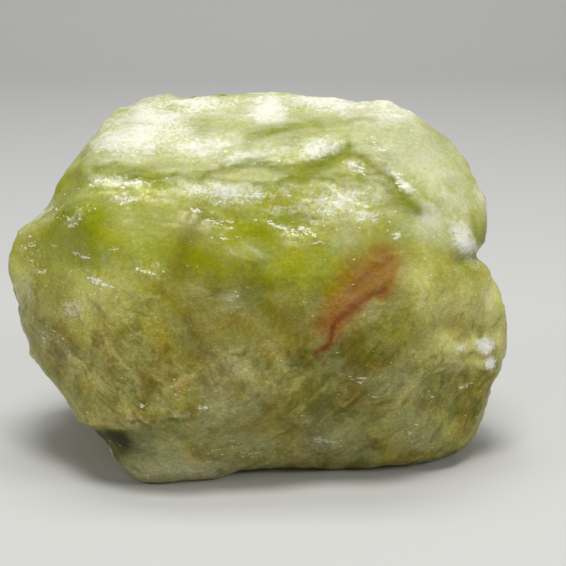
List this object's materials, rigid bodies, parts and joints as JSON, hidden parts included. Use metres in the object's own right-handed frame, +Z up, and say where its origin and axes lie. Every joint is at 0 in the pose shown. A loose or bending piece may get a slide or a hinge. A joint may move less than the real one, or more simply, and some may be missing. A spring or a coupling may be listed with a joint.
{
  "type": "raw citrine",
  "caption": "Rough lump of cloudy yellow-green citrine quartz with broken faces, stepped ledges and a flat base to rest on.",
  "frame": {"origin": "middle of the stone's bounding box at its base, on the surface it rests on", "axes": "+X along the stone's longest side, +Z up, and the broad front face looks to -Y"},
  "size_m": [0.165, 0.1138, 0.116],
  "materials": {
    "quartz": "glossy broken quartz, frosted white on the top and clouded inside"
  },
  "bodies": {
    "root": {"citrine": "quartz"}
  },
  "joints": []
}
